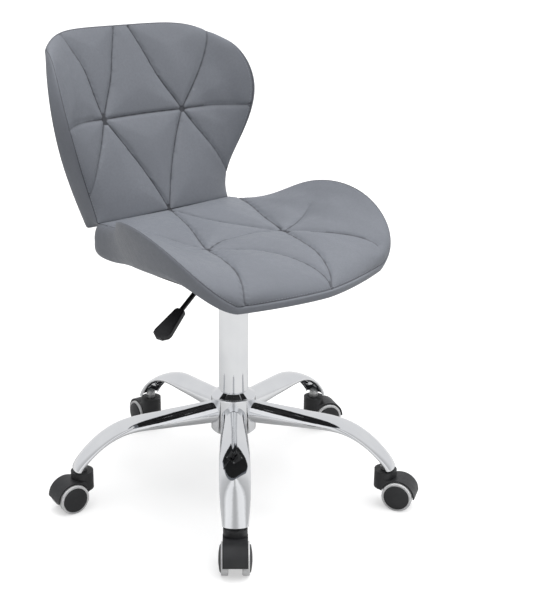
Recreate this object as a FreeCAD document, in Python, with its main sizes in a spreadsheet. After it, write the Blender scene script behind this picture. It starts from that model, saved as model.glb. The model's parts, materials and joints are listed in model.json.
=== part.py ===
"""Adjustable swivel stool: quilted seat and back on a gas lift, five-arm base, twin-wheel casters.

Millimetres.  +Z up, the floor is Z = 0 and the origin lies on the floor under the column.
The sitter faces -Y.  The stool stands at its lowest height.
"""
import FreeCAD, Part
import math
import os

import Sketcher

Vector = FreeCAD.Vector
Rotation = FreeCAD.Rotation
Placement = FreeCAD.Placement

# ---------------------------------------------------------------------------
# Driving dimensions
# ---------------------------------------------------------------------------

SIZES = {
    # base
    "stem_circle": 264.0,         # radius on which the caster stems stand
    "hub_radius": 38.0,
    "hub_bottom": 102.0,
    "hub_top": 166.0,             # shoulder of the hub, where its conical collar starts
    "hub_round": 3.0,
    "collar_top": 174.0,
    "collar_head_radius": 23.0,
    "arm_wall": 1.6,
    "arm_rim": 69.0,              # height of the cut end of each arm
    "socket_radius": 8.0,
    "socket_top": 78.0,
    # casters
    "wheel_radius": 25.0,
    "tread_depth": 4.0,
    "tread_inner": 10.5,          # distance of the tread's two sides from the caster's mid plane
    "tread_outer": 21.5,
    "tread_round": 1.6,
    "cap_outer": 25.5,            # crown of the wheel's outer face
    "trail": 24.0,
    "hood_radius": 29.0,
    "hood_half_width": 19.0,
    "hood_top": 64.0,
    "hood_web": 8.0,              # half width of the web between the wheels
    "wheel_gap": 1.6,             # air between tread and hood
    "boss_radius": 18.5,
    "fender_foot": 25.0,
    "stem_radius": 5.5,
    "stem_foot": 40.0,
    "axle_radius": 3.0,
    "running_gap": 0.06,          # radial clearance of every running fit
    # gas lift
    "column_radius": 25.0,
    "column_wall": 1.5,
    "column_foot": 92.0,
    "column_top": 342.0,
    "taper_foot_radius": 18.0,
    "taper_head_radius": 20.0,
    "taper_bore": 15.5,
    "floor_plate": 4.0,
    "cylinder_radius": 14.0,
    "cylinder_bore": 12.6,
    "cylinder_foot": 110.0,
    "cylinder_shoulder": 348.0,
    "nose_radius": 13.2,
    "nose_top": 371.0,
    "rod_radius": 4.0,
    "free_gap": 0.3,              # radial air between pieces that only pass each other
    "bushing_foot": 262.0,
    "bushing_lip": 2.5,
    "head_foot": 276.0,
    "head_height": 12.0,
    "pin_radius": 4.0,
    "pin_top": 375.6,
    # seat plate and lever
    "plate_size": 160.0,
    "plate_thickness": 3.0,
    "plate_top": 392.0,
    "bolt_pitch": 130.0,
    "bolt_radius": 4.0,
    "bolt_head": 5.3,
    "nut_radius": 5.2,
    "nut_flange": 9.0,
    "socket_outer": 18.0,
    "channel_half_width": 20.5,
    "channel_wall": 2.0,
    "channel_foot": 351.0,
    "channel_reach": 58.0,
    "channel_back": 28.0,
    "lever_height": 380.0,
    "lever_radius": 4.0,
    "lever_pivot": 24.0,          # distance of the lever's pivot from the column axis
    "lever_run": 80.0,            # where the lever starts to bend down
    "lever_bend": 16.0,
    "lever_drop": 31.0,           # degrees
    "lever_tail": 88.0,
    "handle_start": 58.0,         # along the dropping run
    "handle_length": 62.0,
    "handle_neck": 18.6,
    "handle_width": 33.0,
    "handle_thickness": 9.0,
    # upholstery
    "board_thickness": 7.0,
    "cover_thickness": 1.0,
    "seat_crown": 8.0,
    "back_crown": 5.4,
    "bracket_width": 28.0,
    "bracket_thickness": 4.0,
    "bracket_spacing": 90.0,
    "screw_radius": 2.5,
}

# Directions in degrees, counter-clockwise from +X seen from above: arms, and where each caster trails.
FIRST_ARM = -131.7
ARM_STEP = 72.0
CASTER_TRAIL = [-132.3, -62.3, -24.7, 80.4, 171.7]
LEVER_DIRECTION = 189.0

# Arm: radius, height, half width and half depth of the tube's sections, from hub to caster.
ARM_SECTIONS = [
    (30.0, 137.0, 19.6, 19.4),
    (46.0, 136.5, 19.9, 18.4),
    (62.0, 136.0, 20.3, 17.4),
    (86.0, 135.5, 21.2, 15.7),
    (112.0, 135.0, 22.2, 13.8),
    (155.0, 134.0, 23.6, 10.8),
    (190.0, 130.0, 24.2, 8.2),
    (217.0, 119.5, 24.2, 6.6),
    (241.0, 103.0, 23.5, 6.2),
    (258.0, 86.5, 21.8, 6.8),
    (268.5, 73.0, 20.4, 7.6),
    (271.5, 55.0, 19.4, 8.0),
]
# Side view of the part of the arm's under wall that is cut away round the caster socket.
ARM_MOUTH = [(208.0, 60.0), (211.0, 111.0), (216.0, 117.0), (240.0, 101.5), (256.0, 86.0), (265.5, 74.0), (268.0, 60.0)]

# Upholstery edges, half of each: |X|, Y, Z of the stitched edge, from the waist outwards.
SEAT_EDGE = [(144, 172, 453), (147, 135, 457), (168, 90, 468), (204, 38, 494),
             (224, -40, 500), (220, -115, 474), (198, -163, 436), (156, -181, 403)]
SEAT_MIDDLE = [(162, 455), (100, 448), (40, 443), (-23, 440), (-100, 437), (-160, 429), (-196, 416), (-214, 402)]
SEAT_FOOT = [(140, 186, 398), (143, 145, 396), (158, 85, 408), (184, 20, 422),
             (203, -40, 433), (206, -105, 434), (190, -148, 412), (155, -177, 391)]
SEAT_FOOT_MIDDLE = [(188, 397.4), (120, 393.4), (60, 392.5), (-20, 392.4), (-90, 392.4), (-150, 392.2), (-190, 391.2), (-212, 390)]
BACK_EDGE = [(144, 173, 453.6), (151, 184, 497), (170, 177, 545), (190, 167, 597),
             (203, 170, 655), (198, 196, 705), (180, 247, 730)]
BACK_MIDDLE = [(162, 456.6), (196, 534), (230, 613), (260, 690), (289, 757)]
BACK_REAR = [(144, 205, 439), (155, 217, 483), (179, 206, 533), (204, 189, 588),
             (216, 185, 644), (206, 207, 691), (168, 262, 721)]
BACK_REAR_MIDDLE = [(195, 441), (227, 521), (256, 602), (281, 681), (307, 749)]


class Size:
    """A number together with the spreadsheet expression that gives it."""

    def __init__(self, value, text):
        self.value = float(value)
        self.text = text

    def _pair(self, other):
        if isinstance(other, Size):
            return other.value, other.text
        return float(other), repr(float(other))

    def __add__(self, other):
        value, text = self._pair(other)
        return Size(self.value + value, "(%s + %s)" % (self.text, text))

    def __sub__(self, other):
        value, text = self._pair(other)
        return Size(self.value - value, "(%s - %s)" % (self.text, text))

    def __mul__(self, other):
        value, text = self._pair(other)
        return Size(self.value * value, "(%s * %s)" % (self.text, text))

    def __truediv__(self, other):
        value, text = self._pair(other)
        return Size(self.value / value, "(%s / %s)" % (self.text, text))

    def __neg__(self):
        return Size(-self.value, "(-%s)" % self.text)

    def __float__(self):
        return self.value

    def __str__(self):
        return self.text


class Sheet:
    """The spreadsheet; each attribute is a Size bound to the cell of that alias."""

    def __init__(self, document, values):
        self._cells = document.addObject("Spreadsheet::Sheet", "Sizes")
        for row, (name, value) in enumerate(values.items(), start=1):
            self._cells.set("A%d" % row, name)
            self._cells.set("B%d" % row, str(value))
            self._cells.setAlias("B%d" % row, name)
        for name, value in values.items():
            setattr(self, name, Size(value, "Sizes." + name))
        document.recompute()


doc = FreeCAD.newDocument("swivel_stool")
S = Sheet(doc, SIZES)
nodes = {}


# ---------------------------------------------------------------------------
# Helpers
# ---------------------------------------------------------------------------

def turned(degrees, position=(0, 0, 0)):
    """Placement turned about Z."""
    return Placement(Vector(*position), Rotation(Vector(0, 0, 1), degrees))


def bind(item, name, size):
    """Give a property its value, and its expression when it comes from the sheet."""
    setattr(item, name, float(size))
    if isinstance(size, Size):
        item.setExpression(name, size.text)


def keep(name, item, placement=None):
    """Name a finished sub-part and note it for writing."""
    item.Label = name
    if placement is not None:
        item.Placement = placement
    nodes[name] = item
    return item


def cylinder(radius, height, position=(0, 0, 0), axis=(0, 0, 1)):
    item = doc.addObject("Part::Cylinder", "Cylinder")
    bind(item, "Radius", radius)
    bind(item, "Height", height)
    item.Placement = Placement(Vector(*map(float, position)), Rotation(Vector(0, 0, 1), Vector(*axis)))
    return item


def cone(foot, head, height, position=(0, 0, 0)):
    item = doc.addObject("Part::Cone", "Cone")
    bind(item, "Radius1", foot)
    bind(item, "Radius2", head)
    bind(item, "Height", height)
    item.Placement = Placement(Vector(*map(float, position)), Rotation())
    return item


def box(low, high):
    """Box from its lowest and highest corners."""
    item = doc.addObject("Part::Box", "Box")
    for name, a, b in zip(("Length", "Width", "Height"), low, high):
        bind(item, name, Size(b, str(b)) - a)
    item.Placement = Placement(Vector(*map(float, low)), Rotation())
    return item


def fuse(items):
    item = doc.addObject("Part::MultiFuse", "Fuse")
    item.Shapes = items
    return item


def cut(base, tool):
    item = doc.addObject("Part::Cut", "Cut")
    item.Base = base
    item.Tool = tool
    return item


def group(items):
    item = doc.addObject("Part::Compound", "Group")
    item.Links = items
    return item


def sketch(body, role, points):
    """Closed outline on one of the body's own planes, every corner set by the sheet.

    A point is (x, y), or (x, y, radius) where an arc of that radius runs on to the next point;
    a positive radius bulges to the right of the direction of travel.
    """
    plane = [f for f in body.Origin.OriginFeatures if f.Role == role][0]
    item = body.newObject("Sketcher::SketchObject", "Outline")
    item.AttachmentSupport = [(plane, "")]
    item.MapMode = "FlatFace"
    corners = [Vector(float(p[0]), float(p[1]), 0) for p in points]
    count = len(points)
    for index, point in enumerate(points):
        start, end = corners[index], corners[(index + 1) % count]
        if len(point) == 3:
            radius = float(point[2])
            chord = end - start
            side = Vector(chord.y, -chord.x, 0).normalize()
            half = chord.Length / 2
            rise = abs(radius) - math.sqrt(max(radius * radius - half * half, 0))
            middle = (start + end) * 0.5 + side * (rise if radius > 0 else -rise)
            item.addGeometry(Part.Arc(start, middle, end), False)
        else:
            item.addGeometry(Part.LineSegment(start, end), False)
    for index, point in enumerate(points):
        tip = (start_of(item, index, corners[index]), end_of(item, index, corners[(index + 1) % count]))
        following = (index + 1) % count
        next_start = start_of(item, following, corners[following])
        item.addConstraint(Sketcher.Constraint("Coincident", index, tip[1], following, next_start))
        for kind, size in (("DistanceX", point[0]), ("DistanceY", point[1])):
            number = item.addConstraint(Sketcher.Constraint(kind, -1, 1, index, tip[0], float(size)))
            if isinstance(size, Size):
                item.setExpression("Constraints[%d]" % number, size.text)
        if len(point) == 3:
            item.addConstraint(Sketcher.Constraint("Radius", index, abs(float(point[2]))))
    return item


def start_of(item, index, corner):
    """Which end of a sketch line or arc lies on a corner: 1 for its start, 2 for its end."""
    return 1 if item.Geometry[index].StartPoint.distanceToPoint(corner) < 1e-6 else 2


def end_of(item, index, corner):
    return 2 if item.Geometry[index].EndPoint.distanceToPoint(corner) < 1e-6 else 1


def turned_body(name, points):
    """Body of revolution about Z from an outline of (radius, height) points."""
    body = doc.addObject("PartDesign::Body", name)
    outline = sketch(body, "XZ_Plane", points)
    feature = body.newObject("PartDesign::Revolution", "Turn")
    feature.Profile = outline
    feature.ReferenceAxis = (outline, ["V_Axis"])
    feature.Angle = 360.0
    return body


def padded_body(name, role, points, length):
    """Outline on a body plane, thickened to both sides of it."""
    body = doc.addObject("PartDesign::Body", name)
    outline = sketch(body, role, points)
    feature = body.newObject("PartDesign::Pad", "Pad")
    feature.Profile = outline
    feature.Midplane = True
    bind(feature, "Length", length)
    return body


# ---------------------------------------------------------------------------
# Base: hub, arms, caster sockets and stems
# ---------------------------------------------------------------------------

def taper_radius(height):
    """Radius of the column's taper at a height."""
    slope = (S.taper_head_radius - S.taper_foot_radius) / (S.collar_top - S.column_foot)
    return S.taper_foot_radius + slope * (height - S.column_foot)


def make_hub():
    hub = turned_body("hub", [
        (taper_radius(S.hub_bottom), S.hub_bottom),
        (S.hub_radius - 2, S.hub_bottom),
        (S.hub_radius, S.hub_bottom + 2),
        (S.hub_radius, S.hub_top - S.hub_round, S.hub_round),
        (S.hub_radius - S.hub_round, S.hub_top),
        (S.collar_head_radius, S.collar_top),
        (taper_radius(S.collar_top), S.collar_top)])
    keep("base_hub", hub)


def arm_loft(wall):
    """Tube of the arm in the XZ plane, its sections pulled in by the wall."""
    sections = []
    for index, (radius, height, half_width, half_depth) in enumerate(ARM_SECTIONS):
        before = ARM_SECTIONS[max(index - 1, 0)]
        after = ARM_SECTIONS[min(index + 1, len(ARM_SECTIONS) - 1)]
        along = Vector(after[0] - before[0], 0, after[1] - before[1])
        item = doc.addObject("Part::Ellipse", "ArmSection")
        bind(item, "MajorRadius", -wall + half_width)
        bind(item, "MinorRadius", -wall + half_depth)
        across = Vector(0, 1, 0)
        item.Placement = Placement(Vector(radius, 0, height), Rotation(across, Vector(), along, "ZXY"))
        sections.append(item)
    loft = doc.addObject("Part::Loft", "ArmTube")
    loft.Sections = sections
    loft.Solid = True
    loft.Ruled = False
    return loft


def make_arm(index):
    tube = cut(arm_loft(S.arm_wall * 0), arm_loft(S.arm_wall))
    hub_room = cylinder(S.hub_radius, 80, (0, 0, 95))
    below_rim = box((200, -40, 20), (320, 40, S.arm_rim))
    mouth = padded_body("Mouth", "XZ_Plane", ARM_MOUTH, 36)
    socket_room = cylinder(S.socket_radius, S.socket_top - 50, (S.stem_circle, 0, 50))
    arm = cut(tube, fuse([hub_room, below_rim, mouth, socket_room]))
    keep("base_arm_%d" % (index + 1), arm, turned(FIRST_ARM + ARM_STEP * index))


def stem_place(index):
    angle = math.radians(FIRST_ARM + ARM_STEP * index)
    return Vector(float(S.stem_circle) * math.cos(angle), float(S.stem_circle) * math.sin(angle), 0)


def make_sockets_and_stems():
    sockets = []
    stems = []
    for index in range(5):
        place = Placement(stem_place(index), Rotation())
        socket = turned_body("Socket", [
            (S.stem_radius, S.arm_rim),
            (S.socket_radius - 1, S.arm_rim),
            (S.socket_radius, S.arm_rim + 1),
            (S.socket_radius, S.socket_top - 1),
            (S.socket_radius - 1, S.socket_top),
            (S.stem_radius, S.socket_top)])
        socket.Placement = place
        sockets.append(socket)
        stem = turned_body("Stem", [
            (0, S.stem_foot),
            (S.stem_radius - 1, S.stem_foot),
            (S.stem_radius, S.stem_foot + 1),
            (S.stem_radius, S.hood_top + 0.6),
            (S.stem_radius + 3, S.hood_top + 0.6),
            (S.stem_radius + 3, S.arm_rim),
            (S.stem_radius, S.arm_rim),
            (S.stem_radius, S.socket_top),
            (S.stem_radius - 1, S.socket_top + 1.2),
            (0, S.socket_top + 1.2)])
        stem.Placement = place
        stems.append(stem)
    keep("caster_sockets", group(sockets))
    keep("caster_stems", group(stems))


# ---------------------------------------------------------------------------
# Casters.  Each is built with its stem on Z, trailing towards +X, and then placed.
# ---------------------------------------------------------------------------

def make_hood(name, place):
    width = S.hood_half_width * 2
    fender = cylinder(S.hood_radius, width, (S.trail, S.hood_half_width, S.wheel_radius), (0, -1, 0))
    front = box((0, -S.hood_half_width, S.wheel_radius + 8), (S.trail, S.hood_half_width, 52))
    boss = cylinder(S.boss_radius, S.hood_top - S.wheel_radius - 6, (0, 0, S.wheel_radius + 6))
    body = fuse([fender, front, boss])
    rooms = []
    room_radius = S.wheel_radius + S.wheel_gap
    for side in (-1, 1):
        inner = side * float(S.hood_web)
        rooms.append(cylinder(room_radius, 20, (S.trail, inner, S.wheel_radius), (0, side, 0)))
    under = box((-30, -30, -10), (70, 30, S.fender_foot))
    under_front = box((-30, -30, -10), (-2, 30, S.wheel_radius + 8))
    hollow = fuse(rooms + [under, under_front])
    bore = cylinder(S.stem_radius + S.running_gap, 40, (0, 0, S.stem_foot - 0.5))
    axle_hole = cylinder(S.axle_radius, 60, (S.trail, 30, S.wheel_radius), (0, -1, 0))
    hood = cut(body, fuse([hollow, bore, axle_hole]))
    keep(name, hood, place)


def make_axle(name, place):
    length = (S.tread_outer - 1) * 2
    axle = cylinder(S.axle_radius, length)
    turn = Rotation(Vector(0, 0, 1), Vector(0, -1, 0))
    local = Placement(Vector(float(S.trail), float(S.tread_outer) - 1, float(S.wheel_radius)), turn)
    keep(name, axle, place.multiply(local))


def wheel_place(place, side):
    """A wheel is turned about Z with its outer face up; this lays it on the caster's axle."""
    turn = Rotation(Vector(0, 0, 1), Vector(0, side, 0))
    return place.multiply(Placement(Vector(float(S.trail), 0, float(S.wheel_radius)), turn))


def make_core(name, place):
    core_radius = S.wheel_radius - S.tread_depth
    bore = S.axle_radius + S.running_gap
    core = turned_body("Core", [
        (bore, S.hood_web + 0.4),
        (7, S.hood_web + 0.4),
        (7.5, S.tread_inner + 1.5),
        (core_radius, S.tread_inner + 1.5),
        (core_radius, S.tread_outer + 0.3),
        (core_radius - 1.2, S.cap_outer - 2.2, 90),
        (5, S.cap_outer),
        (0, S.cap_outer),
        (0, S.tread_outer + 1),
        (bore, S.tread_outer + 1)])
    keep(name, core, place)


def make_tread(name, place):
    rounding = float(S.tread_round)
    core_radius = S.wheel_radius - S.tread_depth
    tread = turned_body("Tread", [
        (core_radius, S.tread_inner),
        (S.wheel_radius - rounding, S.tread_inner, rounding),
        (S.wheel_radius, S.tread_inner + rounding),
        (S.wheel_radius, S.tread_outer - rounding, rounding),
        (S.wheel_radius - rounding, S.tread_outer),
        (core_radius, S.tread_outer)])
    keep(name, tread, place)


def make_casters():
    for index, trail in enumerate(CASTER_TRAIL):
        place = Placement(stem_place(index), Rotation(Vector(0, 0, 1), trail))
        number = index + 1
        make_hood("caster_hood_%d" % number, place)
        make_axle("caster_axle_%d" % number, place)
        for side_name, side in (("left", 1), ("right", -1)):
            make_core("wheel_core_%s_%d" % (side_name, number), wheel_place(place, side))
            make_tread("wheel_tread_%s_%d" % (side_name, number), wheel_place(place, side))


# ---------------------------------------------------------------------------
# Gas lift
# ---------------------------------------------------------------------------

def make_column():
    inside = S.column_radius - S.column_wall
    plate_top = S.column_foot + S.floor_plate
    keep("column_tube", turned_body("Column", [
        (S.rod_radius + S.free_gap, S.column_foot),
        (S.taper_foot_radius, S.column_foot),
        (S.taper_head_radius, S.collar_top),
        (S.column_radius - 1, S.collar_top + 0.3),
        (S.column_radius, S.collar_top + 1.3),
        (S.column_radius, S.column_top),
        (inside, S.column_top),
        (inside, S.collar_top + 12),
        (S.taper_bore, S.collar_top + 4),
        (S.taper_bore, plate_top),
        (S.rod_radius + S.free_gap, plate_top)]))
    keep("guide_bushing", turned_body("Bushing", [
        (S.cylinder_radius + S.running_gap, S.bushing_foot),
        (inside, S.bushing_foot),
        (inside, S.column_top),
        (S.column_radius - 0.5, S.column_top),
        (S.column_radius - 0.5, S.column_top + S.bushing_lip - 1),
        (S.column_radius - 1.5, S.column_top + S.bushing_lip),
        (S.cylinder_radius + S.running_gap, S.column_top + S.bushing_lip)]))
    keep("thrust_bearing", turned_body("Bearing", [
        (S.rod_radius + S.free_gap, plate_top),
        (11, plate_top),
        (11, plate_top + 5),
        (S.rod_radius + S.free_gap, plate_top + 5)]))


def make_piston():
    shoulder = S.column_foot + S.floor_plate + 5.3
    keep("piston_rod", turned_body("PistonRod", [
        (0, S.column_foot - 8),
        (S.rod_radius - 0.8, S.column_foot - 8),
        (S.rod_radius, S.column_foot - 7),
        (S.rod_radius, shoulder),
        (9, shoulder),
        (9, shoulder + 2.5),
        (S.rod_radius, shoulder + 2.5),
        (S.rod_radius, S.head_foot + S.head_height),
        (0, S.head_foot + S.head_height)]))
    head_radius = S.cylinder_bore - S.free_gap
    keep("piston_head", turned_body("PistonHead", [
        (S.rod_radius, S.head_foot),
        (head_radius - 1, S.head_foot),
        (head_radius, S.head_foot + 1),
        (head_radius, S.head_foot + 4),
        (head_radius - 1.5, S.head_foot + 4.5),
        (head_radius - 1.5, S.head_foot + 7.5),
        (head_radius, S.head_foot + 8),
        (head_radius, S.head_foot + S.head_height - 1),
        (head_radius - 1, S.head_foot + S.head_height),
        (S.rod_radius, S.head_foot + S.head_height)]))
    keep("retaining_clip", turned_body("Clip", [
        (S.rod_radius, S.column_foot - 3.5),
        (7.5, S.column_foot - 3.5),
        (7.5, S.column_foot - 2),
        (S.rod_radius, S.column_foot - 2)]))


def make_cylinder():
    keep("gas_cylinder", turned_body("GasCylinder", [
        (S.rod_radius + S.free_gap, S.cylinder_foot),
        (S.cylinder_radius - 1.5, S.cylinder_foot),
        (S.cylinder_radius, S.cylinder_foot + 1.5),
        (S.cylinder_radius, S.cylinder_shoulder),
        (S.nose_radius, S.nose_top - 1),
        (S.nose_radius - 1, S.nose_top),
        (S.pin_radius + S.running_gap, S.nose_top),
        (S.pin_radius + S.running_gap, S.nose_top - 46),
        (S.cylinder_bore, S.nose_top - 46),
        (S.cylinder_bore, S.cylinder_foot + 8),
        (S.rod_radius + S.free_gap, S.cylinder_foot + 8)]))
    keep("release_pin", turned_body("ReleasePin", [
        (0, S.nose_top - 38),
        (S.pin_radius, S.nose_top - 38),
        (S.pin_radius, S.pin_top - 0.8),
        (S.pin_radius - 0.8, S.pin_top),
        (0, S.pin_top)]))


# ---------------------------------------------------------------------------
# Seat plate and lever
# ---------------------------------------------------------------------------

def bolt_places():
    half = float(S.bolt_pitch) / 2
    return [(x, y) for x in (-half, half) for y in (-half, half)]


def lever_turn():
    """The lever and its channel are drawn towards +X and turned to where the lever points."""
    return turned(LEVER_DIRECTION)


def make_plate():
    half = S.plate_size / 2
    corner = 12
    plate = padded_body("Plate", "XY_Plane", [
        (half, -half + corner), (half, half - corner, corner),
        (half - corner, half), (-half + corner, half, corner),
        (-half, half - corner), (-half, -half + corner, corner),
        (-half + corner, -half), (half - corner, -half, corner)], S.plate_thickness)
    plate.Placement = Placement(Vector(0, 0, float(S.plate_top - S.plate_thickness / 2)), Rotation())
    under = S.plate_top - S.plate_thickness
    outer = S.channel_half_width
    inner = outer - S.channel_wall
    walls = []
    for low, high in ((inner, outer), (-outer, -inner)):
        walls.append(box((-S.channel_back, low, S.channel_foot), (S.channel_reach, high, under)))
    floor_high = S.channel_foot + S.channel_wall
    walls.append(box((-S.channel_back, -inner, S.channel_foot), (S.channel_reach, inner, floor_high)))
    channel = fuse(walls)
    channel.Placement = lever_turn()
    socket = cylinder(S.socket_outer, S.nose_top - 1 - S.channel_foot + 4, (0, 0, S.channel_foot - 4))
    nose_height = S.nose_top - 1 - S.cylinder_shoulder
    nose_room = cone(S.cylinder_radius, S.nose_radius, nose_height, (0, 0, S.cylinder_shoulder))
    below_room = cylinder(S.cylinder_radius, 20, (0, 0, S.cylinder_shoulder - 20))
    pivot_hole = cylinder(S.axle_radius, 60, (S.lever_pivot, 30, S.lever_height), (0, -1, 0))
    pivot_hole.Placement = lever_turn().multiply(pivot_hole.Placement)
    holes = [cylinder(S.bolt_radius, 10, (x, y, S.plate_top - 6)) for x, y in bolt_places()]
    keep("seat_plate", cut(fuse([plate, channel, socket]), fuse([nose_room, below_room, pivot_hole] + holes)))


def make_bolts():
    bolts = []
    nuts = []
    for x, y in bolt_places():
        under = S.plate_top - S.plate_thickness
        head = doc.addObject("Part::Prism", "BoltHead")
        head.Polygon = 6
        head.Circumradius = 7.5
        bind(head, "Height", S.bolt_head)
        head.Placement = Placement(Vector(x, y, float(under - S.bolt_head)), Rotation())
        shank = cylinder(S.bolt_radius, S.board_thickness + 4, (x, y, under))
        bolts.append(fuse([head, shank]))
        nut = turned_body("TeeNut", [
            (S.bolt_radius, S.plate_top + 1.2),
            (S.nut_radius, S.plate_top + 1.2),
            (S.nut_radius, S.plate_top + 6.0),
            (S.nut_flange, S.plate_top + 6.0),
            (S.nut_flange, S.plate_top + 7.4),
            (S.bolt_radius, S.plate_top + 7.4)])
        nut.Placement = Placement(Vector(x, y, 0), Rotation())
        nuts.append(nut)
    keep("seat_bolts", group(bolts))
    keep("tee_nuts", group(nuts))


def lever_path_end(distance):
    """Point on the lever's dropping run, at a distance from where the bend starts."""
    drop = math.radians(float(S.lever_drop))
    return (float(S.lever_run) + distance * math.cos(drop), 0.0, float(S.lever_height) - distance * math.sin(drop))


def make_lever():
    drop = math.radians(float(S.lever_drop))
    tangent = float(S.lever_bend) * math.tan(drop / 2)
    straight = cylinder(S.lever_radius, float(S.lever_run) - tangent + 2, (-2, 0, S.lever_height), (1, 0, 0))
    down = (math.cos(drop), 0, -math.sin(drop))
    dropping = cylinder(S.lever_radius, float(S.lever_tail) - tangent, lever_path_end(tangent), down)
    elbow = doc.addObject("Part::Torus", "Elbow")
    bind(elbow, "Radius1", S.lever_bend)
    bind(elbow, "Radius2", S.lever_radius)
    bind(elbow, "Angle3", S.lever_drop)
    centre = Vector(float(S.lever_run) - tangent, 0, float(S.lever_height - S.lever_bend))
    elbow.Placement = Placement(centre, Rotation(Vector(0, 0, 1), Vector(1, 0, 0), Vector(0, 1, 0), "ZXY"))
    sleeve = cylinder(S.lever_radius + 2, 14, (S.lever_pivot, 7, S.lever_height), (0, -1, 0))
    pivot_room = cylinder(S.axle_radius + S.running_gap, 20, (S.lever_pivot, 10, S.lever_height), (0, -1, 0))
    rod = cut(fuse([straight, elbow, dropping, sleeve]), pivot_room)
    keep("lever_rod", rod, lever_turn())
    pin = cylinder(S.axle_radius, (S.channel_half_width + 1.5) * 2)
    local = Placement(Vector(float(S.lever_pivot), float(S.channel_half_width) + 1.5, float(S.lever_height)),
                      Rotation(Vector(0, 0, 1), Vector(0, -1, 0)))
    keep("lever_pivot", pin, lever_turn().multiply(local))
    make_handle()


def make_handle():
    """Flat paddle whose long axis follows the rod's dropping run."""
    neck = S.handle_neck / 2
    wide = S.handle_width / 2
    blade = padded_body("Handle", "XY_Plane", [
        (0, -neck + 3), (3, -neck),
        (S.handle_length * 0.8, -wide), (S.handle_length * 0.9, -wide + 1.5),
        (S.handle_length, -wide * 0.35), (S.handle_length, wide * 0.35),
        (S.handle_length * 0.9, wide - 1.5), (S.handle_length * 0.8, wide),
        (3, neck), (0, neck - 3)], S.handle_thickness)
    doc.recompute()
    pad = blade.Tip
    rim = blade.newObject("PartDesign::Fillet", "SoftRim")
    flat = float(S.handle_thickness) / 2
    edges = ["Edge%d" % (n + 1) for n, edge in enumerate(blade.Shape.Edges)
             if all(abs(abs(vertex.Z) - flat) < 1e-6 for vertex in edge.Vertexes)
             and abs(edge.Vertexes[0].Z - edge.Vertexes[-1].Z) < 1e-6]
    rim.Base = (pad, edges)
    rim.Radius = 2.0
    drop = float(S.lever_drop)
    place = Placement(Vector(*lever_path_end(float(S.handle_start))), Rotation(Vector(0, 1, 0), drop))
    blade.Placement = place
    room = cylinder(S.lever_radius, S.lever_tail - S.handle_start + 4,
                    lever_path_end(float(S.handle_start) - 4),
                    (math.cos(math.radians(drop)), 0, -math.sin(math.radians(drop))))
    keep("lever_handle", cut(blade, room), lever_turn())


# ---------------------------------------------------------------------------
# Seat and back.  Both are patches: u runs from -1 to 1 across, v from the waist outwards.
# ---------------------------------------------------------------------------

def spline_through(points):
    curve = Part.BSplineCurve()
    curve.interpolate([Vector(*p) for p in points])
    return curve


def at(curve, fraction):
    """Point of a curve at a fraction of its parameter range."""
    first, last = curve.FirstParameter, curve.LastParameter
    return curve.value(first + (last - first) * fraction)


class Patch:
    """Surface between a mirrored edge curve and a middle line."""

    def __init__(self, edge, middle, depth_power, rise_power):
        self.edge = spline_through(edge)
        self.middle = spline_through([(0, y, z) for y, z in middle])
        self.depth_power = depth_power
        self.rise_power = rise_power

    def point(self, u, v):
        edge = at(self.edge, v)
        middle = at(self.middle, v)
        across = abs(u)
        y = middle.y + (edge.y - middle.y) * across ** self.depth_power(v)
        z = middle.z + (edge.z - middle.z) * across ** self.rise_power(v)
        return Vector(u * edge.x, y, z)


def late(v, start=0.6):
    """0 up to the start of the patch's outer part, then rising to 1 at its end."""
    return min(max((v - start) / (1 - start), 0.0), 1.0)


SEAT_TOP = Patch(SEAT_EDGE, SEAT_MIDDLE, lambda v: 2 - 0.5 * late(v), lambda v: 3.6 - 0.6 * late(v))
SEAT_UNDER = Patch(SEAT_FOOT, SEAT_FOOT_MIDDLE, lambda v: 2 - 0.5 * late(v), lambda v: 4.0)
BACK_FRONT = Patch(BACK_EDGE, BACK_MIDDLE, lambda v: 3.4, lambda v: 2 + 4 * late(v))
BACK_BEHIND = Patch(BACK_REAR, BACK_REAR_MIDDLE, lambda v: 3.4, lambda v: 2 + 4 * late(v))
BACK_NORMAL = Vector(0, -0.92, 0.39)


def swell(u, v, reach=0.16):
    """How much of a cushion's crown has been reached: 0 at the edge, 1 inside."""
    near = min(1 - abs(u), v - 0.03, 1 - v)
    share = min(max(near / reach, 0.0), 1.0)
    return math.sqrt(1 - (1 - share) ** 2)


def surface_through(function, across=25, along=25):
    """Smooth surface through a grid of points of a patch, closer together near its rims."""
    rows = []
    for j in range(along):
        v = 0.5 - 0.5 * math.cos(math.pi * j / (along - 1))
        row = []
        for i in range(across):
            u = -math.cos(math.pi * i / (across - 1))
            row.append(function(u, v))
        rows.append(row)
    surface = Part.BSplineSurface()
    surface.interpolate(rows)
    return surface


def slab(upper, lower):
    """Solid between two patches: two skins and the four ruled walls between their rims."""
    skins = [surface_through(upper), surface_through(lower)]
    faces = [skin.toShape() for skin in skins]
    rims = []
    for skin in skins:
        u0, u1, v0, v1 = skin.bounds()
        rims.append([skin.uIso(u0), skin.uIso(u1), skin.vIso(v0), skin.vIso(v1)])
    for top, bottom in zip(*rims):
        faces.append(Part.makeRuledSurface(top.toShape(), bottom.toShape()))
    shell = Part.Shell(faces)
    shell.sewShape()
    solid = Part.Solid(shell)
    if solid.Volume < 0:
        solid.reverse()
    return solid


def feature(name, shape):
    item = doc.addObject("Part::Feature", name)
    item.Shape = shape
    return item


def mixed(first, second, share):
    return first + (second - first) * share


def seat_at(level, inset=1.0):
    """Layer of the seat a fixed height above its underside."""
    def point(u, v):
        return SEAT_UNDER.point(u * inset, 0.5 + (v - 0.5) * inset) + Vector(0, 0, float(level))
    return point


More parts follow.
